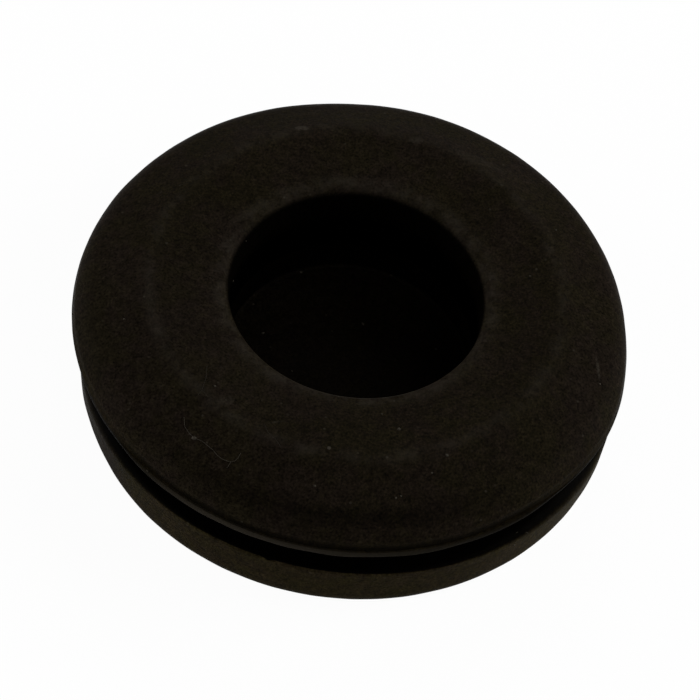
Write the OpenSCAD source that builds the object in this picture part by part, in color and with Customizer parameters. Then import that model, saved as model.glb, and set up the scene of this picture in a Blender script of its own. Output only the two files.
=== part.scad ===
// Blind rubber grommet: one moulded ring with a groove for a panel's edge, closed at its back by a thin floor.
// The axis is Z. The origin is the middle of the flat back face, and the front face looks up.

/* [Flanges] */
// Diameter of the front flange, the wider one
flange_d = 27; // [25:0.5:32]
// Thickness of the front flange under its raised ring
front_t = 2.7; // [2.4:0.05:4]
// How far in from the front flange's rim the back flange's rim stands
back_inset = 0.2; // [0:0.05:1]
// Thickness of the back flange
back_t = 3.2; // [2.5:0.1:5]
// Radius of the front flange's rounded shoulder
shoulder_r = 1.8; // [0.3:0.05:1.8]
// Radius of the back flange's rounded outer edge
back_edge_r = 1.2; // [0.3:0.1:2]

/* [Front face] */
// Diameter of the raised ring on the front face
crest_d = 19.9; // [17:0.1:22]
// Radius that the raised ring is rounded to
crest_r = 1.5; // [0.5:0.1:2.5]
// How far the face falls from the raised ring to the mouth of the hole
dish_fall = 0.55; // [0.1:0.05:0.9]
// How far the face falls from the raised ring towards the rim, at the shoulder's unrounded corner
rim_fall = 1.4; // [0.6:0.05:1.45]

/* [Groove] */
// Width of the groove, which takes a panel a little thinner
groove_w = 1.8; // [1:0.1:3.2]
// Diameter at the groove's root, which is the panel's hole
groove_d = 19; // [17:0.5:22]
// Radius in the corners of the groove's root
root_r = 0.25; // [0.1:0.05:0.4]

/* [Hole] */
// Diameter of the hole
hole_d = 12.2; // [10:0.1:14]
// Radius of the rounded mouth of the hole
mouth_r = 0.6; // [0.2:0.1:0.9]
// Thickness of the floor that closes the hole
floor_t = 1.25; // [0.8:0.05:2]

/* [Hidden] */
$fn = 144;

groove_bottom = back_t;
groove_top = groove_bottom + groove_w;
crest_z = groove_top + front_t;
mouth_z = crest_z - dish_fall;
front_r = flange_d / 2;
back_r = front_r - back_inset;

// How far a corner's area runs past the corner, as a share of its own size
corner_lap = 1.1;
// How far an arc runs past the two sides that it rounds, so that it crosses them and doesn't graze them
arc_lap = 0.001;
// How far a cut runs past the surface that it opens
cut_lap = 1;

// Each outline is a list of corners: radius from the axis, height, and the radius that the corner is rounded to.
// The plug is the grommet before its groove and its hole are cut.
PLUG = [
    [0, 0, 0],
    [back_r, 0, back_edge_r],
    [back_r, groove_bottom, 0],
    [front_r, groove_top, 0],
    [front_r, crest_z - rim_fall, shoulder_r],
    [crest_d / 2, crest_z, crest_r],
    [hole_d / 2, mouth_z, 0],
    [0, mouth_z, 0],
];
GROOVE = [
    [groove_d / 2, groove_bottom, root_r],
    [front_r + cut_lap, groove_bottom, 0],
    [front_r + cut_lap, groove_top, 0],
    [groove_d / 2, groove_top, root_r],
];
HOLE = [
    [0, floor_t, 0],
    [hole_d / 2, floor_t, 0],
    [hole_d / 2, crest_z + cut_lap, 0],
    [0, crest_z + cut_lap, 0],
];

function unit(v) = v / norm(v);

// The area between a corner and the arc that rounds it, drawn a little past the corner
module corner_area(last, corner, next, r) {
    to_last = unit(last - corner);
    to_next = unit(next - corner);
    half_angle = acos(to_last * to_next) / 2;
    reach = r / tan(half_angle);
    centre = corner + unit(to_last + to_next) * r / sin(half_angle);
    kite = [centre, corner + to_last * reach, corner, corner + to_next * reach];
    difference() {
        polygon([for (p = kite) centre + (p - centre) * corner_lap]);
        translate(centre) circle(r + arc_lap);
    }
}

module rounded(outline) {
    points = [for (c = outline) [c.x, c.y]];
    n = len(outline);
    difference() {
        polygon(points);
        for (i = [0 : n - 1]) if (outline[i].z > 0)
            corner_area(points[(i + n - 1) % n], points[i], points[(i + 1) % n], outline[i].z);
    }
}

module section() {
    difference() {
        rounded(PLUG);
        rounded(GROOVE);
        rounded(HOLE);
        corner_area([crest_d / 2, crest_z], [hole_d / 2, mouth_z], [hole_d / 2, floor_t], mouth_r);
    }
}

module grommet() {
    color("#191712") rotate_extrude() section();
}

grommet();
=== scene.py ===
import math
import random

import bmesh
import bpy
from mathutils import Matrix, Vector, noise
from mathutils.bvhtree import BVHTree


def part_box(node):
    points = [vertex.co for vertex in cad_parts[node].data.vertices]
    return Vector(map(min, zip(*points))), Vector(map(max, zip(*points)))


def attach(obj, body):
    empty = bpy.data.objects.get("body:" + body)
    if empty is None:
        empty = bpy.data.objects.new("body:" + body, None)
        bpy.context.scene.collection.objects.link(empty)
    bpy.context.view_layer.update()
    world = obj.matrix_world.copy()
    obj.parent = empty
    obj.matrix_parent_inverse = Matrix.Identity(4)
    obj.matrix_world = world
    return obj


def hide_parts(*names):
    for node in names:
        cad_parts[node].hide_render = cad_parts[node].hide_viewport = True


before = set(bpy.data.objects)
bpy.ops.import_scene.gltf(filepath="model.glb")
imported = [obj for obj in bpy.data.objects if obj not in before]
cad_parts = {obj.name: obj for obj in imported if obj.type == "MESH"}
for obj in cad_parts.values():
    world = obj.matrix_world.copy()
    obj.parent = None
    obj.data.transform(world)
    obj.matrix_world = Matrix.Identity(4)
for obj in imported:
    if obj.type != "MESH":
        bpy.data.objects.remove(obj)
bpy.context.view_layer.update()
LOW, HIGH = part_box("grommet")

MM = 0.001
WHITE = (1, 1, 1, 1)
SEED = 7

# The section, in millimetres from the axis and from the back face
RIM_R = (HIGH.x - LOW.x) / 2 / MM
BACK_R = RIM_R - 0.2
BACK_T = 3.2
BACK_EDGE_ROUND = 1.2
GROOVE_R = 9.5
GROOVE_W = 1.8
GROOVE_TOP = BACK_T + GROOVE_W
ROOT_ROUND = 0.25
CREST_R = 9.95
CREST_Z = GROOVE_TOP + 2.7
CREST_ROUND = 1.5
RIM_FALL = 1.4
SHOULDER_ROUND = 1.8
HOLE_R = 6.1
MOUTH_Z = CREST_Z - 0.55
MOUTH_ROUND = 0.6
FLOOR_T = 1.25
FLOOR_ROUND = 0.12
LIP_ROUND = 0.06
# The moulding's flash is a thin bead round the front flange's lip, with a fine dark nick above it
FLASH_T = 0.24
FLASH_PROUD = 0.03
FLASH_ROUND = 0.09
NICK_T = 0.24
NICK_DEPTH = 0.12
NICK_ROUND = 0.025
SIDE_R = RIM_R - FLASH_PROUD
FLASH_TOP = GROOVE_TOP + FLASH_T
NICK_TOP = FLASH_TOP + NICK_T
BROW_Z = NICK_TOP + 0.16
BROW_ROUND = 0.08

# How finely the section is turned: the length of the steps along hidden, plain and shaped sides
TURN_STEPS = 480
HIDDEN_STEP = 1.5
PLAIN_STEP = 0.7
SHAPED_STEP = 0.25
ARC_STEP = math.radians(6)
ARC_CHORD = 0.015

# The moulded rubber isn't quite round: waves round each rim (how many, height, where the first crest lies)
RIM_WAVES = ((2, 0.036, math.radians(42)), (3, 0.053, math.radians(69)))
# The front rim also stands in or out at two places: where, how far that reaches either way, and how far out.
# It never stands further out than RIM_PROUD, which stays inside the CAD's box at these places
RIM_BUMPS = ((math.radians(101), math.radians(15), -0.12), (math.radians(-19), math.radians(16.5), 0.235))
RIM_PROUD = 0.12
BACK_WAVES = ((3, 0.035, math.radians(-19)),)
BACK_BUMPS = ((math.radians(-148), math.radians(13), -0.07),)
# The mould's halves met a little apart, so the back flange and the hole lie off the front flange's axis
BACK_SHIFT = 0.19
HOLE_SHIFT = 0.054
# The flash runs along the front and fades out at both ends: the azimuths where it starts and where it is
# full, the length and strength of its unevenness, and how far it hangs down into the groove
FLASH_LEFT = (math.radians(-138), math.radians(-126))
FLASH_RIGHT = (math.radians(-28), math.radians(-50))
FLASH_LENGTH = 1.6
FLASH_NOISE_Z = 40.0
FLASH_MEAN = 0.9
FLASH_SWING = 0.4
FLASH_HANG = 0.15
# Where there is no flash the front flange's lip is rounded off instead: how far in, up to what height, and
# how wide a part of the lip moves
LIP_WORN = 0.04
LIP_WORN_T = 0.45
LIP_WORN_W = 0.2
# The back flange's lip is sharp at the front and more and more rounded towards both ends of the groove:
# its sharpest place, how far round either way it is fully rounded, how deep the rounding is seen there,
# the radius for each mm that is seen, the radius that the section leaves room for, and how steeply it grows
BACK_LIP_MIDDLE = math.radians(-96)
BACK_LIP_RIGHT = math.radians(72)
BACK_LIP_LEFT = math.radians(56)
BACK_LIP_WORN = 0.92
BACK_LIP_GAIN = 1.15
BACK_LIP_ROUND = 1.1
BACK_LIP_POWER = 2.6
# Past both ends, where the photograph doesn't show it, the rounding fades to a share of its depth
BACK_LIP_FADES = (1.15, 1.45)
BACK_LIP_HIDDEN = 0.2
# How near a point has to lie to a lip's arc, and to the arc's ends, to count as on it
ON_LIP = 0.01
ON_LIP_END = 0.001
# Fine unevenness of the edges: height and length of the waves
EDGE_ROUGH = 0.012
EDGE_LENGTH = 1.1

# The photograph's camera. Its focal length is in pixels, with a small correction of the size. Its distance is
# in rim radii, counted from the front flange's lip, and it is turned aside and up to frame the object
FRAME_PIXELS = 700
FOCAL_PIXELS = 1941.45 / (1 - 0.0066)
SENSOR_MM = 36.0
CAMERA_ELEVATION = math.radians(52.36)
CAMERA_ROLL = math.radians(9.17)
CAMERA_DISTANCE = 7.0
AIM = (0.0011, 0.0174)
CLIP_START = 0.001

# Soft lamps round the object: azimuth from straight behind towards the right, elevation, and strength,
# where a white surface that faces a lamp of strength 1 renders white. Their distance and size are in metres
LAMPS = {
    "lamp_back": (0, 38, 0.33),
    "lamp_right": (80, 38, 0.37),
    "lamp_right_low": (80, 14, 0.75),
    "lamp_front_left_low": (240, 14, 0.45),
    "lamp_left_low": (280, 14, 0.48),
    "lamp_front_right": (160, 45, 0.22),
}
LAMP_DISTANCE = 0.30
LAMP_SIZE = 0.16
# The strength of the even fill
FILL = 0.02
# The floor: its size in metres, its colour, how much of its white is plain white, and how far it lies under
# the back face, in mm
FLOOR_SIZE = 1.2
FLOOR_COLOUR = (0.92, 0.92, 0.92, 1)
FLOOR_ROUGHNESS = 0.9
WHITE_SHARE = 0.96
FLOOR_DROP = 0.01

# The rubber: its colour, and how far grain, mottle and blotches change it.
# Each noise has the length of its lumps in mm, its detail and its roughness
RUBBER = (0.0072, 0.00555, 0.0036)
GRAIN_NOISE = (0.11, 2.0, 0.6)
GRAIN = 1.5
MOTTLE_NOISE = (0.36, 3.0, 0.6)
MOTTLE = 0.85
BLOTCH_NOISE = (3.5, 2.0, 0.5)
BLOTCH = 0.22
DARKEST = 0.1
# The rubber's tint wanders between a redder and a greener brown
TINT_NOISE = (2.6, 6.0, 0.8)
TINT_WANDERS = (0.38, 0.62)
REDDER = (1.03, 0.96, 1.05)
GREENER = (1.00, 1.02, 0.84)
# The rubber's gloss and its fine relief. Dust gives the open rubber a little sheen
ROUGHNESS = 0.38
ROUGHNESS_SWING = 0.3
SPECULAR = 0.003
DUSTED_SHEEN = 0.07
SHEEN_ROUGHNESS = 0.2
BUMP_MM = 0.012
BUMP_MOTTLE = 2.0

# Zones of the rubber, by height and by distance from the axis. Each fades in from its first value to its
# second one
FLOOR_FADE = (FLOOR_T + 0.25, FLOOR_T + 0.05)
WALL_FADE_R = (HOLE_R + 0.20, HOLE_R + 0.02)
WALL_FADE_Z = (MOUTH_Z, MOUTH_Z - 0.35)
FLASH_FADE_R = (RIM_R - 0.45, RIM_R - 0.35)
FLASH_FADE_Z = (FLASH_TOP + 0.02, FLASH_TOP - 0.03)
FLASH_LOW = GROOVE_TOP - FLASH_HANG - 0.02
NICK_FADE_LOW = (FLASH_TOP - 0.02, FLASH_TOP + 0.03)
NICK_FADE_TOP = (NICK_TOP + 0.32, NICK_TOP - 0.02)
NICK_INNER_R = RIM_R - 0.6
ENDS_FADE = (GROOVE_TOP + 0.75, GROOVE_TOP + 0.1)
ENDS_LOW = BACK_T + 0.1
GROOVE_FADE_TOP = (GROOVE_TOP + 0.03, GROOVE_TOP)
BACK_SIDE_FADE_R = (BACK_R - 1.0, BACK_R - 0.2)
BACK_SIDE_FADE_Z = (BACK_T + 0.02, BACK_T - 0.04)
LIP_TOP = GROOVE_TOP + 0.95
LIP_FADE = (LIP_TOP, LIP_TOP - 0.7)
# Below, the groove's shade fades in between two heights, which sink where the back flange's lip is worn
SHADE_LOW = BACK_T - 0.03
SHADE_LOW_SINKS = 1.25
SHADE_TOP = BACK_T
SHADE_TOP_SINKS = 0.35

# Painted shade, darker rubber that stands in for the shade in the hollows and on the lip: the shares of its
# colour that the rubber keeps on the hole's wall and floor, in the groove, on the flash under its film, in
# the nick above it, and on the lip past the flash's ends
HOLE_WALL_SHADE = 0.08
HOLE_FLOOR_SHADE = 0.5
PAINTED_SHADE_SHARES = {"groove": 0.04, "flash": 0.35, "nick": 0.3, "ends": 0.4}
# The back flange's side is paler and yellower, painted light from the white floor close below it, and the
# front flange's lip
# is a little paler and yellower: factors on the rubber's colour. At the left the side keeps only a share of
# that painted light and is dimmed, a painted shade, and behind the left end it clears again
BACK_SIDE = (1.70, 1.72, 1.25)
BACK_SIDE_LEFT = 0.2
BACK_SIDE_DIMMED = 0.75
BACK_SIDE_DIMS = (math.radians(-115), math.radians(-148))
BACK_SIDE_CLEARS = (math.radians(-160), math.radians(-180))
LIP_SIDE = (1.04, 1.02, 0.70)
# Painted shade: a darker band where the slope starts to roll over, at the front: radius, half width, its
# middle, its share, and how squarely a place has to face the middle
BAND = (CREST_R + 2.45, 0.42, math.radians(-88), 0.50)
BAND_FACING = (0.60, 0.93)

# The paler film of dust and wear, also used for painted highlights: its colour
FILM = (0.034, 0.029, 0.022)
# Worn or dusty ridges: radius, half width, share of film, and the height above which they lie.
# A noise breaks them up
RIDGES = ((CREST_R - 0.10, 0.32, 0.12, CREST_Z - 1.0), (HOLE_R + 0.45, 0.36, 0.17, MOUTH_Z - 0.6))
RIDGE_NOISE = (0.9, 5.0, 0.75)
RIDGE_BREAKS = (0.36, 0.66, 0.1, 2.0)
# The flash is given a share of the paler film, less of it towards its ends
FLASH_FILM = 0.44
FILM_LEFT = (math.radians(-136), math.radians(-110))
FILM_RIGHT = (math.radians(-38), math.radians(-100))
# Paler smears: pixel, half length and half width in mm, direction in the picture in degrees, share of film.
# Most are dust. The three on the crest at the back are wear with a painted highlight, and the narrow one at
# the right rim is a painted highlight. A noise breaks them up too, and each fades out over its edge, in half
# widths squared
SMEARS_AND_HIGHLIGHTS = (
    (302, 128, 0.42, 0.22, 5, 0.70), (478, 160, 1.9, 0.38, -28, 0.17), (416, 140, 0.40, 0.24, -10, 0.30),
    (598, 368, 0.09, 0.62, 4, 0.55), (226, 400, 0.42, 0.30, 20, 0.28), (276, 422, 0.40, 0.06, 25, 0.35),
    (549, 516, 0.35, 0.12, -35, 0.30),
)
SMEAR_NOISE = (0.18, 3.0, 0.7)
SMEAR_BREAKS = (0.35, 0.62, 0.15, 1.0)
SMEAR_EDGE = (1.4, 0.1)
SMEAR_LIMIT = 2
# Fine dust: the size of its cells in mm, how far from a cell's middle its point fades out, and which cells
# hold one
DUST_CELL_MM = 0.42
DUST_POINT = (0.20, 0.08)
DUST_CHOSEN = (0.80, 1.0, 0.0, 0.45)
# Where the clean rubber lies, without a sheen of dust: the hole's wall, the groove and the front flange's lip
CLEAN_HOLE_R = HOLE_R + 0.4
CLEAN_HOLE_Z = (FLOOR_T - 0.01, MOUTH_Z - 0.08)
CLEAN_GROOVE_R = RIM_R - 0.5
CLEAN_GROOVE_LOW = BACK_T - 0.01
CLEAN_GROOVE_SINKS = 0.6
CLEAN_LIP_R = RIM_R - 0.7
CLEAN_LIP_Z = (GROOVE_TOP - 0.2, NICK_TOP + 0.05)

# Small nibs of rubber on the back flange's edge: pixel, half width and height in mm
NIBS = ((268, 560, 0.16, 0.09), (521, 530, 0.22, 0.05), (527, 529, 0.12, 0.06))
NIB_REACH = 2.5

# Dust, placed by pixels of the photograph, with sizes in millimetres
SPECKS = (
    (194, 438, 0.11), (329, 448, 0.09), (399, 429, 0.08), (447, 455, 0.07), (215, 386, 0.06),
    (124, 319, 0.05), (432, 473, 0.05), (315, 486, 0.05), (396, 498, 0.05), (401, 496, 0.05),
    (530, 276, 0.05), (556, 230, 0.05), (382, 414, 0.04), (363, 324, 0.09), (263, 333, 0.08),
    (301, 272, 0.08), (292, 371, 0.05), (233, 281, 0.06), (436, 349, 0.06), (246, 241, 0.04),
    (600, 384, 0.06), (226, 400, 0.04), (490, 280, 0.03), (514, 545, 0.08),
)
SPECK_FLATNESS = 0.45
SPECK_SPIN = 6.3
SPECK_STRETCH = (0.75, 1.25)
SPECK_LUMPS = (0.82, 1.1)
FIBRES = (
    ((184, 417), (185, 427), (189, 433), (194, 438), (202, 441), (213, 450), (217, 455),
     (222, 459), (227, 461), (231, 462), (235, 461), (238, 458), (241, 453)),
    ((231, 462), (229, 465), (227, 468)),
    ((516, 533), (519, 531), (524, 531), (528, 533)),
)
FAINT_FIBRES = (
    ((207, 366), (206, 378), (202, 390), (198, 395)),
    ((202, 390), (208, 397)),
    ((264, 424), (268, 432), (275, 439), (279, 444), (281, 448)),
)
FIBRE_ROUND = 0.012
FAINT_ROUND = 0.006
FIBRE_SIDES = 5
FIBRE_STEP = 2
# The dust's material: a noise blends a darker and a paler grey-brown
DUST_NOISE = (0.05, 3.0, 0.6)
DUST_BLEND = (0.3, 0.7)
DUST_DARK = (0.024, 0.021, 0.016)
DUST_PALE = (0.036, 0.031, 0.024)
DUST_ROUGHNESS = 0.9
DUST_SPECULAR = 0.02


def arc_corner(last, corner, following, rounding):
    """The points of the arc that rounds one corner of the section."""
    to_last = (last - corner).normalized()
    to_next = (following - corner).normalized()
    half = math.acos(max(-1.0, min(1.0, to_last.dot(to_next)))) / 2
    centre = corner + (to_last + to_next).normalized() * (rounding / math.sin(half))
    start = corner + to_last * (rounding / math.tan(half)) - centre
    end = corner + to_next * (rounding / math.tan(half)) - centre
    sweep = math.pi - 2 * half
    steps = max(2, math.ceil(sweep / max(ARC_STEP, ARC_CHORD / rounding)))
    way = 1 if start.x * end.y - start.y * end.x > 0 else -1
    points = []
    for i in range(steps + 1):
        turn = way * sweep * i / steps
        points.append(centre + Vector((
            start.x * math.cos(turn) - start.y * math.sin(turn),
            start.x * math.sin(turn) + start.y * math.cos(turn),
        )))
    return points


# The arc of the front flange's shoulder, which the nick cuts into
SHOULDER_Z = CREST_Z - RIM_FALL
SHOULDER = arc_corner(
    Vector((SIDE_R, FLASH_TOP)), Vector((SIDE_R, SHOULDER_Z)), Vector((CREST_R, CREST_Z)), SHOULDER_ROUND
)


def plain_side(z):
    """The radius of the front flange's side where there is no flash and no nick."""
    rise = max(0.0, z - SHOULDER[0].y)
    return SIDE_R - (SHOULDER_ROUND - math.sqrt(SHOULDER_ROUND ** 2 - rise ** 2))


def section():
    """The section from the back face's middle, round the rims and into the hole: radius and height in mm."""
    nick_r = SIDE_R - NICK_DEPTH
    shoulder = [p for p in SHOULDER if p.y > BROW_Z]
    # Each corner has its radius, height and rounding, and the longest step along the side that follows it
    corners = [
        (0, 0, 0, HIDDEN_STEP),
        (BACK_R, 0, BACK_EDGE_ROUND, SHAPED_STEP),
        (BACK_R, BACK_T, BACK_LIP_ROUND, PLAIN_STEP),
        (GROOVE_R, BACK_T, ROOT_ROUND, PLAIN_STEP),
        (GROOVE_R, GROOVE_TOP, ROOT_ROUND, PLAIN_STEP),
        (RIM_R, GROOVE_TOP, FLASH_ROUND, PLAIN_STEP),
        (RIM_R, FLASH_TOP, FLASH_ROUND, PLAIN_STEP),
        (nick_r, FLASH_TOP, NICK_ROUND, PLAIN_STEP),
        (nick_r, NICK_TOP, NICK_ROUND, PLAIN_STEP),
        (*shoulder[0], BROW_ROUND, SHAPED_STEP),
        (SIDE_R, SHOULDER_Z, SHOULDER_ROUND, SHAPED_STEP),
        (CREST_R, CREST_Z, CREST_ROUND, SHAPED_STEP),
        (HOLE_R, MOUTH_Z, MOUTH_ROUND, PLAIN_STEP),
        (HOLE_R, FLOOR_T, FLOOR_ROUND, PLAIN_STEP),
        (0, FLOOR_T, 0, 0),
    ]
    places = [Vector(c[:2]) for c in corners]
    points = [places[0]]
    for i in range(1, len(corners)):
        arc = [places[i]]
        if corners[i][2] > 0:
            arc = arc_corner(places[i - 1], places[i], places[i + 1], corners[i][2])
        if corners[i][2] == SHOULDER_ROUND:
            arc = shoulder[1:]
        start, side = points[-1], arc[0] - points[-1]
        parts = max(1, math.ceil(side.length / corners[i - 1][3]))
        points += [start + side * (k / parts) for k in range(1, parts)]
        points += arc
    return points


def wave(waves, turn):
    """How far the waves draw the rim in at one place."""
    return sum(height * (math.cos(count * (turn - crest)) - 1) for count, height, crest in waves)


def smooth(value, start, end):
    """A smooth step from 0 to 1."""
    share = max(0.0, min(1.0, (value - start) / (end - start)))
    return share * share * (3 - 2 * share)


def bumped(bumps, turn):
    """How far single swellings and hollows of a rim stand out at one place."""
    total = 0.0
    for at, reach, height in bumps:
        total += height * math.exp(-(math.remainder(turn - at, 2 * math.pi) / reach) ** 2)
    return total


def flash_share(turn):
    """How much of the flash stands at one place round the rim."""
    turn = math.remainder(turn, 2 * math.pi)
    place = Vector((RIM_R * math.cos(turn), RIM_R * math.sin(turn), FLASH_NOISE_Z)) / FLASH_LENGTH
    uneven = min(1.0, FLASH_MEAN + FLASH_SWING * noise.noise(place))
    return smooth(turn, *FLASH_LEFT) * smooth(turn, *FLASH_RIGHT) * uneven


def back_lip_worn(turn):
    """How deep the rounding of the back flange's lip is seen at one place."""
    off = math.remainder(turn, 2 * math.pi) - BACK_LIP_MIDDLE
    reach = max(off / BACK_LIP_RIGHT, -off / BACK_LIP_LEFT)
    hidden = 1 - (1 - BACK_LIP_HIDDEN) * smooth(reach, *BACK_LIP_FADES)
    return BACK_LIP_WORN * min(1.0, reach) ** BACK_LIP_POWER * hidden


def back_lip(r, z, turn):
    """Turns the full rounding of the back flange's lip into the rounding that it has at one place."""
    across = (BACK_LIP_ROUND - BACK_R + r) / BACK_LIP_ROUND
    upward = (BACK_LIP_ROUND - BACK_T + z) / BACK_LIP_ROUND
    on_lip = min(across, upward) >= -ON_LIP_END and abs(math.hypot(across, upward) - 1) <= ON_LIP
    if not on_lip:
        return r, z
    rounding = max(LIP_ROUND, BACK_LIP_GAIN * back_lip_worn(turn))
    place = math.atan2(upward, across) / (math.pi / 4) - 1
    inset, drop = max(0.0, place) * BACK_LIP_ROUND, max(0.0, -place) * BACK_LIP_ROUND
    if max(inset, drop) < rounding:
        bend = math.pi / 4 * (1 + (inset - drop) / rounding)
        inset, drop = rounding * (1 - math.cos(bend)), rounding * (1 - math.sin(bend))
    return BACK_R - inset, BACK_T - drop


def front_lip(r, z, turn):
    """Gives the flash and the nick their share at one place, and rounds the lip off where they end."""
    share = flash_share(turn)
    if r > SIDE_R - NICK_DEPTH - ON_LIP and GROOVE_TOP <= z < BROW_Z:
        r = plain_side(z) + (r - plain_side(z)) * share
    if r > SIDE_R - LIP_WORN_W and z >= GROOVE_TOP:
        rise = z - GROOVE_TOP
        r -= LIP_WORN * (1 - share) * max(0.0, 1 - rise / LIP_WORN_T) ** 2
        z -= FLASH_HANG * share * max(0.0, 1 - rise / FLASH_T)
    return r, z


def moulded(r, z, turn):
    """Where a point of the section ends up at one place round the rim, with the unevenness of soft rubber."""
    r, z = front_lip(*back_lip(r, z, turn), turn)
    front_share = max(0.0, min(1.0, (z - BACK_T) / GROOVE_W))
    proud = front_share * min(RIM_PROUD, wave(RIM_WAVES, turn) + bumped(RIM_BUMPS, turn))
    proud += (1 - front_share) * min(0.0, wave(BACK_WAVES, turn) + bumped(BACK_BUMPS, turn))
    place = Vector((RIM_R * math.cos(turn), RIM_R * math.sin(turn), z)) / EDGE_LENGTH
    proud -= EDGE_ROUGH * (1 + noise.noise(place))
    on_back_flange = r >= GROOVE_R and 0 < z < GROOVE_TOP
    if r < CREST_R and z > FLOOR_T / 2 and not on_back_flange:
        shift = HOLE_SHIFT * min(1.0, (CREST_R - r) / (CREST_R - HOLE_R))
    else:
        shift = BACK_SHIFT * (1 - front_share)
    r += proud * (r / RIM_R) ** 2
    return Vector((r * math.cos(turn) + shift, r * math.sin(turn), z))


def turned(name, points, place):
    """A closed body turned from a section whose ends are on the axis. Each point goes where place puts it."""
    mesh = bmesh.new()
    turns = [2 * math.pi * k / TURN_STEPS for k in range(TURN_STEPS)]
    rings = []
    for p in points[1:-1]:
        rings.append([mesh.verts.new(place(p.x, p.y, turn) * MM) for turn in turns])
    ends = [mesh.verts.new(place(0, p.y, 0) * MM) for p in (points[0], points[-1])]
    for k in range(TURN_STEPS):
        m = (k + 1) % TURN_STEPS
        mesh.faces.new((ends[0], rings[0][m], rings[0][k]))
        mesh.faces.new((ends[1], rings[-1][k], rings[-1][m]))
        for low, high in zip(rings, rings[1:]):
            mesh.faces.new((low[k], low[m], high[m], high[k]))
    for face in mesh.faces:
        face.smooth = True
    data = bpy.data.meshes.new(name)
    mesh.to_mesh(data)
    mesh.free()
    body = bpy.data.objects.new(name, data)
    bpy.context.scene.collection.objects.link(body)
    return body


def material(name):
    """A new node material, with its node tree, its links and its shader."""
    made = bpy.data.materials.new(name)
    made.use_nodes = True
    tree = made.node_tree
    return made, tree.nodes, tree.links, tree.nodes["Principled BSDF"]


class Graph:
    """Short ways to add the nodes of a material. A share is a value from 0 to 1."""

    def __init__(self, nodes, links):
        self.nodes = nodes
        self.links = links

    def put(self, socket, value):
        """Links an output to a socket, or sets the socket's own value."""
        if isinstance(value, bpy.types.NodeSocket):
            self.links.new(value, socket)
        else:
            socket.default_value = value

    def math(self, operation, *values):
        """One step of arithmetic with numbers."""
        node = self.nodes.new("ShaderNodeMath")
        node.operation = operation
        for socket, value in zip(node.inputs, values):
            self.put(socket, value)
        return node.outputs[0]

    def vector(self, operation, *values):
        """One step of arithmetic with vectors or colours."""
        node = self.nodes.new("ShaderNodeVectorMath")
        node.operation = operation
        for socket, value in zip(node.inputs, values):
            self.put(socket, value)
        return node.outputs["Value" if operation in ("LENGTH", "DOT_PRODUCT") else "Vector"]

    def ramp(self, value, low, high, start=0.0, end=1.0):
        """A smooth step from one value to another while the given value goes from low to high."""
        node = self.nodes.new("ShaderNodeMapRange")
        node.interpolation_type = "SMOOTHSTEP"
        names = ("Value", "From Min", "From Max", "To Min", "To Max")
        for name, given in zip(names, (value, low, high, start, end)):
            self.put(node.inputs[name], given)
        return node.outputs["Result"]

    def product(self, first, *others):
        """All the values multiplied."""
        for other in others:
            first = self.math("MULTIPLY", first, other)
        return first

    def rest(self, share):
        """What a share leaves of 1."""
        return self.math("SUBTRACT", 1.0, share)

    def kept(self, share, value):
        """A factor that goes from 1 to a value as a share goes from 0 to 1."""
        return self.math("MULTIPLY_ADD", share, value - 1.0, 1.0)

    def bell(self, value, middle, half_width):
        """A bell curve: 1 at the middle, and less and less away from it."""
        off = self.math("DIVIDE", self.math("SUBTRACT", value, middle), half_width)
        return self.math("POWER", math.e, self.product(off, off, -1.0))

    def noise(self, place, length, detail, roughness):
        """Noise from 0 to 1 whose lumps are about one length across."""
        node = self.nodes.new("ShaderNodeTexNoise")
        self.links.new(place, node.inputs["Vector"])
        node.inputs["Scale"].default_value = 1 / length
        node.inputs["Detail"].default_value = detail
        node.inputs["Roughness"].default_value = roughness
        return node.outputs["Fac"]

    def swing(self, value, size):
        """Noise turned into a factor round 1."""
        return self.math("MULTIPLY_ADD", value, 2 * size, 1 - size)

    def scaled(self, vector, factor):
        """A colour or vector times a factor."""
        node = self.nodes.new("ShaderNodeVectorMath")
        node.operation = "SCALE"
        self.links.new(vector, node.inputs[0])
        self.links.new(factor, node.inputs["Scale"])
        return node.outputs["Vector"]

    def blend(self, share, first, second):
        """A colour between two others."""
        node = self.nodes.new("ShaderNodeMix")
        node.data_type = "RGBA"
        self.put(node.inputs["Factor"], share)
        for name, value in (("A", first), ("B", second)):
            socket = next(s for s in node.inputs if s.name == name and s.type == "RGBA")
            self.put(socket, value)
        return next(s for s in node.outputs if s.type == "RGBA")


def millimetres(graph):
    """The place on the object, in millimetres."""
    place = graph.nodes.new("ShaderNodeTexCoord").outputs["Object"]
    return graph.vector("MULTIPLY", place, (1 / MM, 1 / MM, 1 / MM))


class Spot:
    """A place on the rubber, with its height and its distance from the axis in mm, and its azimuth."""

    def __init__(self, graph):
        self.place = millimetres(graph)
        split = graph.nodes.new("ShaderNodeSeparateXYZ")
        graph.links.new(self.place, split.inputs[0])
        self.height = split.outputs["Z"]
        self.radius = graph.vector("LENGTH", graph.vector("MULTIPLY", self.place, (1, 1, 0)))
        self.azimuth = graph.math("ARCTAN2", split.outputs["Y"], split.outputs["X"])


def worn_by_azimuth(graph, azimuth):
    """The same as back_lip_worn, as nodes."""
    off = graph.math("SUBTRACT", azimuth, BACK_LIP_MIDDLE)
    to_right = graph.math("DIVIDE", off, BACK_LIP_RIGHT)
    to_left = graph.math("DIVIDE", off, -BACK_LIP_LEFT)
    reach = graph.math("MAXIMUM", to_right, to_left)
    worn = graph.math("POWER", graph.math("MINIMUM", reach, 1.0), BACK_LIP_POWER)
    deepest = graph.ramp(reach, *BACK_LIP_FADES, BACK_LIP_WORN, BACK_LIP_HIDDEN * BACK_LIP_WORN)
    return graph.math("MULTIPLY", worn, deepest)


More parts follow.
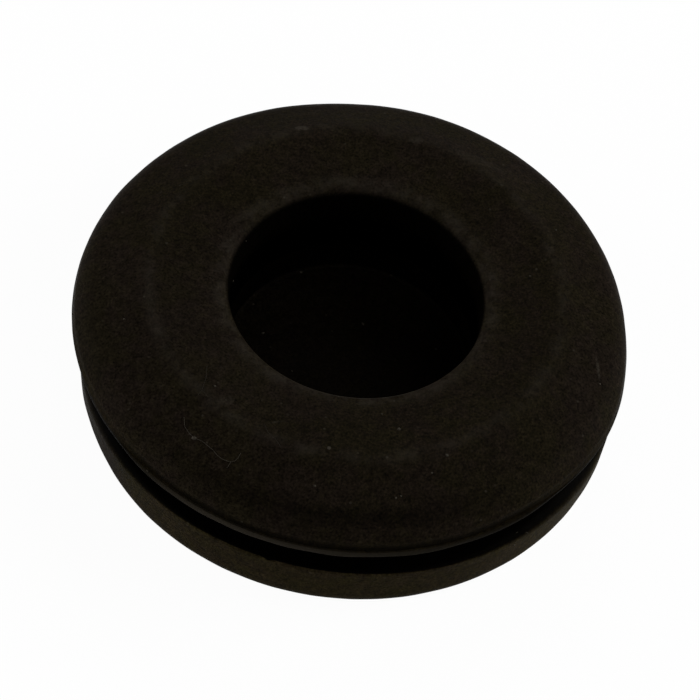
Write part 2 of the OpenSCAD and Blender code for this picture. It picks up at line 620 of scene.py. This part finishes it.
def rubber_zones(graph, spot):
    """The share in which a spot belongs to each zone of the rubber."""
    has_flash = graph.product(graph.ramp(spot.azimuth, *FLASH_LEFT), graph.ramp(spot.azimuth, *FLASH_RIGHT))
    on_flash = graph.product(
        graph.ramp(spot.height, *FLASH_FADE_Z),
        graph.math("GREATER_THAN", spot.height, FLASH_LOW),
        graph.ramp(spot.radius, *FLASH_FADE_R),
    )
    in_nick = graph.product(
        graph.ramp(spot.height, *NICK_FADE_LOW),
        graph.ramp(spot.height, *NICK_FADE_TOP),
        graph.math("GREATER_THAN", spot.radius, NICK_INNER_R),
        has_flash,
    )
    worn = worn_by_azimuth(graph, spot.azimuth)
    shade_low = graph.math("MULTIPLY_ADD", worn, -SHADE_LOW_SINKS, SHADE_LOW)
    shade_top = graph.math("MULTIPLY_ADD", worn, -SHADE_TOP_SINKS, SHADE_TOP)
    in_groove = graph.product(
        graph.ramp(spot.height, shade_low, shade_top),
        graph.ramp(spot.height, *GROOVE_FADE_TOP),
        graph.rest(on_flash),
    )
    at_ends = graph.product(
        graph.ramp(spot.height, *ENDS_FADE),
        graph.rest(has_flash),
        graph.math("GREATER_THAN", spot.height, ENDS_LOW),
    )
    on_lip = graph.product(
        graph.ramp(spot.height, *LIP_FADE),
        graph.math("GREATER_THAN", spot.height, GROOVE_TOP),
    )
    return {
        "floor": graph.ramp(spot.height, *FLOOR_FADE),
        "hole": graph.product(graph.ramp(spot.radius, *WALL_FADE_R), graph.ramp(spot.height, *WALL_FADE_Z)),
        "groove": in_groove,
        "flash": on_flash,
        "nick": in_nick,
        "ends": at_ends,
        "back side": graph.product(
            graph.ramp(spot.height, *BACK_SIDE_FADE_Z), graph.ramp(spot.radius, *BACK_SIDE_FADE_R)
        ),
        "lip": on_lip,
    }


def rubber_colour(graph, spot, zones, grain, mottle):
    """The colour of bare rubber: its grain and its tint, and how dark or pale it is in each zone, with
    painted shade in the hollows and on the lip, a painted shade band at the front, and painted light on the
    back flange's side.
    """
    blotch = graph.noise(spot.place, *BLOTCH_NOISE)
    factor = graph.product(graph.swing(grain, GRAIN), graph.swing(mottle, MOTTLE))
    factor = graph.math("MAXIMUM", graph.product(factor, graph.swing(blotch, BLOTCH)), DARKEST)
    # Painted shade in the hole, the groove and the nick, on the flash, and on the lip past the flash's ends
    hole_shade = graph.math("MULTIPLY_ADD", zones["floor"], HOLE_FLOOR_SHADE - HOLE_WALL_SHADE, HOLE_WALL_SHADE)
    share = graph.math("MULTIPLY_ADD", zones["hole"], graph.math("SUBTRACT", hole_shade, 1.0), 1.0)
    for zone, value in PAINTED_SHADE_SHARES.items():
        share = graph.product(share, graph.kept(zones[zone], value))
    factor = graph.product(factor, share)

    wander = graph.ramp(graph.noise(spot.place, *TINT_NOISE), *TINT_WANDERS)
    tint = graph.vector("MULTIPLY", graph.blend(wander, (*REDDER, 1), (*GREENER, 1)), RUBBER)
    # Painted light on the back flange's side, and painted shade on its left
    dims = graph.ramp(spot.azimuth, *BACK_SIDE_DIMS, 1.0, BACK_SIDE_LEFT)
    pale = graph.math("MAXIMUM", dims, graph.ramp(spot.azimuth, *BACK_SIDE_CLEARS))
    left_painted_shade = graph.product(zones["back side"], graph.rest(pale))
    factor = graph.product(factor, graph.kept(left_painted_shade, BACK_SIDE_DIMMED))
    painted_light_side = graph.product(zones["back side"], pale)
    tint = graph.vector("MULTIPLY", tint, graph.blend(painted_light_side, WHITE, (*BACK_SIDE, 1)))
    tint = graph.vector("MULTIPLY", tint, graph.blend(zones["lip"], WHITE, (*LIP_SIDE, 1)))

    # Painted shade: the darker band at the front of the shoulder
    middle, half_width, turn, dark = BAND
    front = (math.cos(turn), math.sin(turn), 0)
    facing = graph.vector("DOT_PRODUCT", graph.vector("NORMALIZE", spot.place), front)
    shade_band = graph.product(
        graph.bell(spot.radius, middle, half_width),
        graph.product(graph.ramp(facing, *BAND_FACING), dark),
        graph.math("GREATER_THAN", spot.height, LIP_TOP),
    )
    return graph.scaled(tint, graph.product(factor, graph.rest(shade_band)))


def pale_patch_share(graph, place, view, smear):
    """A soft pale patch round the place that a pixel shows, of dust, and at a few places a painted highlight.
    """
    x, y, half_length, half_width, tilt, share = smear
    centre, normal = view.place(x, y)
    across = view.along(math.radians(tilt), normal)
    offset = graph.vector("SUBTRACT", place, tuple(centre / MM))
    u = graph.math("MULTIPLY", graph.vector("DOT_PRODUCT", offset, tuple(across)), 1 / half_length)
    upward = tuple(normal.cross(across))
    v = graph.math("MULTIPLY", graph.vector("DOT_PRODUCT", offset, upward), 1 / half_width)
    reach = graph.math("ADD", graph.product(u, u), graph.product(v, v))
    limit = SMEAR_LIMIT * max(half_length, half_width)
    near = graph.math("LESS_THAN", graph.vector("LENGTH", offset), limit)
    return graph.product(graph.ramp(reach, *SMEAR_EDGE, 0.0, share), near)


def fine_dust(graph, place):
    """Fine dust: a few of the cells of a fine mesh hold a pale point."""
    cells = graph.nodes.new("ShaderNodeTexVoronoi")
    graph.links.new(place, cells.inputs["Vector"])
    cells.inputs["Scale"].default_value = 1 / DUST_CELL_MM
    chosen = graph.nodes.new("ShaderNodeSeparateColor")
    graph.links.new(cells.outputs["Color"], chosen.inputs[0])
    point = graph.ramp(cells.outputs["Distance"], *DUST_POINT)
    return graph.product(point, graph.ramp(chosen.outputs[0], *DUST_CHOSEN))


def film_share(graph, spot, zones, view):
    """How much of the rubber the film hides: worn ridges, the paler flash, smears of dust with a few painted
    highlights, and fine dust.
    """
    film = 0.0
    broken = graph.ramp(graph.noise(spot.place, *RIDGE_NOISE), *RIDGE_BREAKS)
    for middle, half_width, share, low in RIDGES:
        ridge = graph.bell(spot.radius, middle, half_width)
        above = graph.math("GREATER_THAN", spot.height, low)
        film = graph.math("ADD", film, graph.product(ridge, above, share, broken))
    to_left = graph.ramp(spot.azimuth, *FILM_LEFT)
    to_right = graph.ramp(spot.azimuth, *FILM_RIGHT, 0.0, FLASH_FILM)
    film = graph.math("ADD", film, graph.product(zones["flash"], graph.product(to_left, to_right)))
    # Smears of dust, and a few painted highlights
    patchy = graph.ramp(graph.noise(spot.place, *SMEAR_NOISE), *SMEAR_BREAKS)
    for smear in SMEARS_AND_HIGHLIGHTS:
        film = graph.math("ADD", film, graph.product(pale_patch_share(graph, spot.place, view, smear), patchy))
    film = graph.math("ADD", film, fine_dust(graph, spot.place))
    on_wall = graph.product(zones["hole"], graph.rest(zones["floor"]))
    sheltered = graph.math("MAXIMUM", on_wall, zones["groove"])
    return graph.math("MINIMUM", graph.product(film, graph.rest(sheltered)), 1.0)


def rubber_material(name, view, sheen):
    """Matt moulded rubber: nearly black, faintly brown, grainy, with worn ridges, smears and fine dust, and
    with painted shade in its hollows and painted light in places.
    """
    made, nodes, links, shader = material(name)
    graph = Graph(nodes, links)
    spot = Spot(graph)
    zones = rubber_zones(graph, spot)
    grain = graph.noise(spot.place, *GRAIN_NOISE)
    mottle = graph.noise(spot.place, *MOTTLE_NOISE)
    colour = rubber_colour(graph, spot, zones, grain, mottle)
    film = film_share(graph, spot, zones, view)
    links.new(graph.blend(film, colour, (*FILM, 1)), shader.inputs["Base Color"])

    rough = graph.math("MULTIPLY_ADD", mottle, ROUGHNESS_SWING, ROUGHNESS)
    links.new(rough, shader.inputs["Roughness"])
    shader.inputs["Specular IOR Level"].default_value = SPECULAR
    shader.inputs["Sheen Weight"].default_value = sheen
    shader.inputs["Sheen Roughness"].default_value = SHEEN_ROUGHNESS
    bump = nodes.new("ShaderNodeBump")
    relief = graph.math("ADD", grain, graph.math("MULTIPLY", mottle, BUMP_MOTTLE))
    links.new(relief, bump.inputs["Height"])
    bump.inputs["Strength"].default_value = 1.0
    bump.inputs["Distance"].default_value = BUMP_MM * MM
    links.new(bump.outputs["Normal"], shader.inputs["Normal"])
    return made


def white_to_rays(nodes, links):
    """1 for the rays that see the white background, and 0 for the light that falls on the object."""
    path = nodes.new("ShaderNodeLightPath")
    total = path.outputs["Is Camera Ray"]
    for other in ("Is Glossy Ray", "Is Transmission Ray"):
        add = nodes.new("ShaderNodeMath")
        add.operation = "MAXIMUM"
        links.new(total, add.inputs[0])
        links.new(path.outputs[other], add.inputs[1])
        total = add.outputs[0]
    return total


class View:
    """Finds the place on a body that a pixel of the photograph shows."""

    def __init__(self, camera, body):
        self.frame = camera.matrix_world
        data = body.data
        self.tree = BVHTree.FromPolygons([v.co for v in data.vertices], [p.vertices for p in data.polygons])

    def place(self, x, y):
        """The place that a pixel shows, and the way that the surface faces there."""
        half = FRAME_PIXELS / 2
        ray = self.frame.to_3x3() @ Vector(((x - half) / FOCAL_PIXELS, (half - y) / FOCAL_PIXELS, -1))
        point, normal, _, _ = self.tree.ray_cast(self.frame.translation, ray.normalized())
        return point, normal

    def along(self, tilt, normal):
        """The direction on the surface that runs at a tilt in the picture."""
        aside = self.frame.to_3x3() @ Vector((math.cos(tilt), math.sin(tilt), 0))
        return (aside - normal * aside.dot(normal)).normalized()


def mark_clean(body):
    """Gives the hole's wall, the groove and the front flange's lip the second material, without sheen."""
    data = body.data
    for face in data.polygons:
        middle = sum((data.vertices[k].co for k in face.vertices), Vector()) / len(face.vertices) / MM
        radius = middle.xy.length
        in_hole = radius < CLEAN_HOLE_R and CLEAN_HOLE_Z[0] < middle.z < CLEAN_HOLE_Z[1]
        worn = back_lip_worn(math.atan2(middle.y, middle.x))
        groove_low = CLEAN_GROOVE_LOW - CLEAN_GROOVE_SINKS * worn
        in_groove = radius < CLEAN_GROOVE_R and groove_low < middle.z < GROOVE_TOP
        at_lip = radius > CLEAN_LIP_R and CLEAN_LIP_Z[0] < middle.z < CLEAN_LIP_Z[1]
        face.material_index = 1 if in_hole or in_groove or at_lip else 0


def raise_nibs(body, view):
    """Small nibs left by the mould on the back flange's edge."""
    for x, y, half_width, height in NIBS:
        point, normal = view.place(x, y)
        outward = (normal + Vector((0, 0, 1))).normalized()
        for vert in body.data.vertices:
            off = (vert.co - point).length / (half_width * MM)
            if off < NIB_REACH:
                vert.co += outward * (height * MM * math.exp(-off * off))


def mesh_body(name, mesh):
    """An object of a mesh, with nothing above the grommet's top."""
    for face in mesh.faces:
        face.smooth = True
    for vert in mesh.verts:
        vert.co.z = min(vert.co.z, HIGH.z)
    data = bpy.data.meshes.new(name)
    mesh.to_mesh(data)
    mesh.free()
    body = bpy.data.objects.new(name, data)
    bpy.context.scene.collection.objects.link(body)
    return body


def dust_specks(view):
    """Grains of dust, each a flattened uneven lump that sits on the rubber."""
    mesh = bmesh.new()
    for x, y, size in SPECKS:
        point, normal = view.place(x, y)
        spin = Matrix.Rotation(random.uniform(0, SPECK_SPIN), 4, "Z")
        turn = normal.to_track_quat("Z", "Y").to_matrix().to_4x4() @ spin
        stretch = random.uniform(*SPECK_STRETCH)
        sizes = (size * stretch, size / stretch, size * SPECK_FLATNESS, 1)
        scale = Matrix.Diagonal(sizes) @ Matrix.Scale(MM, 4)
        grain = bmesh.ops.create_icosphere(mesh, subdivisions=2, radius=1)["verts"]
        for vert in grain:
            vert.co *= random.uniform(*SPECK_LUMPS)
            vert.co = Matrix.Translation(point) @ turn @ scale @ vert.co
    return mesh_body("dust_specks", mesh)


def fibre(mesh, view, picks, thickness):
    """One strand of lint, a thin tube that lies on the rubber."""
    path = []
    for a, b in zip(picks, picks[1:]):
        parts = max(1, round(math.dist(a, b) / FIBRE_STEP))
        for k in range(parts):
            path.append((a[0] + (b[0] - a[0]) * k / parts, a[1] + (b[1] - a[1]) * k / parts))
    path.append(picks[-1])
    spots = []
    for x, y in path:
        point, normal = view.place(x, y)
        spots.append((point + normal * thickness * MM, normal))
    turns = [2 * math.pi * k / FIBRE_SIDES for k in range(FIBRE_SIDES)]
    rings = []
    for i, (point, normal) in enumerate(spots):
        along = (spots[min(i + 1, len(spots) - 1)][0] - spots[max(i - 1, 0)][0]).normalized()
        side = along.cross(normal).normalized()
        up = side.cross(along)
        ways = [side * math.cos(turn) + up * math.sin(turn) for turn in turns]
        rings.append([mesh.verts.new(point + way * thickness * MM) for way in ways])
    for low, high in zip(rings, rings[1:]):
        for k in range(FIBRE_SIDES):
            m = (k + 1) % FIBRE_SIDES
            mesh.faces.new((low[k], low[m], high[m], high[k]))
    mesh.faces.new(rings[0][::-1])
    mesh.faces.new(rings[-1])


def dust_fibres(view):
    """All the strands of lint, as one body."""
    mesh = bmesh.new()
    for strands, thickness in ((FIBRES, FIBRE_ROUND), (FAINT_FIBRES, FAINT_ROUND)):
        for picks in strands:
            fibre(mesh, view, picks, thickness)
    bmesh.ops.recalc_face_normals(mesh, faces=mesh.faces)
    return mesh_body("dust_fibres", mesh)


def dust_material():
    """Pale grey-brown lint and grit."""
    made, nodes, links, shader = material("dust")
    graph = Graph(nodes, links)
    lumps = graph.ramp(graph.noise(millimetres(graph), *DUST_NOISE), *DUST_BLEND)
    links.new(graph.blend(lumps, (*DUST_DARK, 1), (*DUST_PALE, 1)), shader.inputs["Base Color"])
    shader.inputs["Roughness"].default_value = DUST_ROUGHNESS
    shader.inputs["Specular IOR Level"].default_value = DUST_SPECULAR
    return made


def lay_floor():
    """A white floor that the camera sees as white, and that keeps a faint soft shadow."""
    bpy.ops.mesh.primitive_plane_add(size=FLOOR_SIZE, location=(0, 0, -FLOOR_DROP * MM))
    floor = bpy.context.object
    floor.name = "floor"
    made, nodes, links, shader = material("floor_white")
    shader.inputs["Base Color"].default_value = FLOOR_COLOUR
    shader.inputs["Roughness"].default_value = FLOOR_ROUGHNESS
    white = nodes.new("ShaderNodeEmission")
    mix = nodes.new("ShaderNodeMixShader")
    share = nodes.new("ShaderNodeMath")
    share.operation = "MULTIPLY"
    share.inputs[1].default_value = WHITE_SHARE
    links.new(white_to_rays(nodes, links), share.inputs[0])
    links.new(share.outputs[0], mix.inputs[0])
    links.new(shader.outputs[0], mix.inputs[1])
    links.new(white.outputs[0], mix.inputs[2])
    links.new(mix.outputs[0], nodes["Material Output"].inputs["Surface"])
    floor.data.materials.append(made)


def set_world():
    """White where the camera looks past the floor, and a dim even fill for the object."""
    world = bpy.data.worlds.new("studio")
    bpy.context.scene.world = world
    world.use_nodes = True
    nodes, links = world.node_tree.nodes, world.node_tree.links
    fill = nodes["Background"]
    fill.inputs["Color"].default_value = WHITE
    fill.inputs["Strength"].default_value = FILL
    white = nodes.new("ShaderNodeBackground")
    white.inputs["Color"].default_value = WHITE
    mix = nodes.new("ShaderNodeMixShader")
    links.new(white_to_rays(nodes, links), mix.inputs[0])
    links.new(fill.outputs[0], mix.inputs[1])
    links.new(white.outputs[0], mix.inputs[2])
    links.new(mix.outputs[0], nodes["World Output"].inputs["Surface"])


def softbox(name, azimuth, elevation, strength):
    """An area lamp that faces the grommet."""
    lamp = bpy.data.lights.new(name, "AREA")
    lamp.shape = "SQUARE"
    lamp.size = LAMP_SIZE
    lamp.energy = strength * (math.pi * LAMP_DISTANCE) ** 2
    holder = bpy.data.objects.new(name, lamp)
    turn, lift = math.radians(azimuth), math.radians(elevation)
    way = Vector((math.sin(turn) * math.cos(lift), math.cos(turn) * math.cos(lift), math.sin(lift)))
    holder.location = way * LAMP_DISTANCE
    holder.rotation_euler = (-holder.location).to_track_quat("-Z", "Y").to_euler()
    bpy.context.scene.collection.objects.link(holder)


def camera_axes():
    """The camera's right, up and backward directions, before it is turned to frame the object."""
    back = Vector((0, -math.cos(CAMERA_ELEVATION), math.sin(CAMERA_ELEVATION)))
    right = Vector((1, 0, 0))
    up = back.cross(right)
    cos_roll, sin_roll = math.cos(CAMERA_ROLL), math.sin(CAMERA_ROLL)
    return right * cos_roll + up * sin_roll, up * cos_roll - right * sin_roll, back


def place_camera():
    """The photograph's view of the grommet."""
    right, up, back = camera_axes()
    eye = Vector((0, 0, GROOVE_TOP * MM)) + back * (CAMERA_DISTANCE * RIM_R * MM)
    away = (back + right * AIM[0] + up * AIM[1]).normalized()
    across = (right - away * right.dot(away)).normalized()
    data = bpy.data.cameras.new("camera")
    data.sensor_width = SENSOR_MM
    data.lens = SENSOR_MM * FOCAL_PIXELS / FRAME_PIXELS
    data.clip_start = CLIP_START
    camera = bpy.data.objects.new("camera", data)
    camera.matrix_world = (
        Matrix.Translation(eye) @ Matrix((across, away.cross(across), away)).transposed().to_4x4()
    )
    bpy.context.scene.collection.objects.link(camera)
    bpy.context.scene.camera = camera
    return camera


random.seed(SEED)
camera = place_camera()
bpy.context.view_layer.update()
grommet = turned("moulded_grommet", section(), moulded)
view = View(camera, grommet)
raise_nibs(grommet, view)
grommet.data.materials.append(rubber_material("moulded_rubber", view, DUSTED_SHEEN))
grommet.data.materials.append(rubber_material("clean_rubber", view, 0.0))
mark_clean(grommet)
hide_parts("grommet")
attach(grommet, "root")
dust = dust_material()
for piece in (dust_specks(view), dust_fibres(view)):
    piece.data.materials.append(dust)
    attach(piece, "root")
lay_floor()
set_world()
for name, (azimuth, elevation, strength) in LAMPS.items():
    softbox(name, azimuth, elevation, strength)
bpy.context.scene.view_settings.view_transform = "Standard"
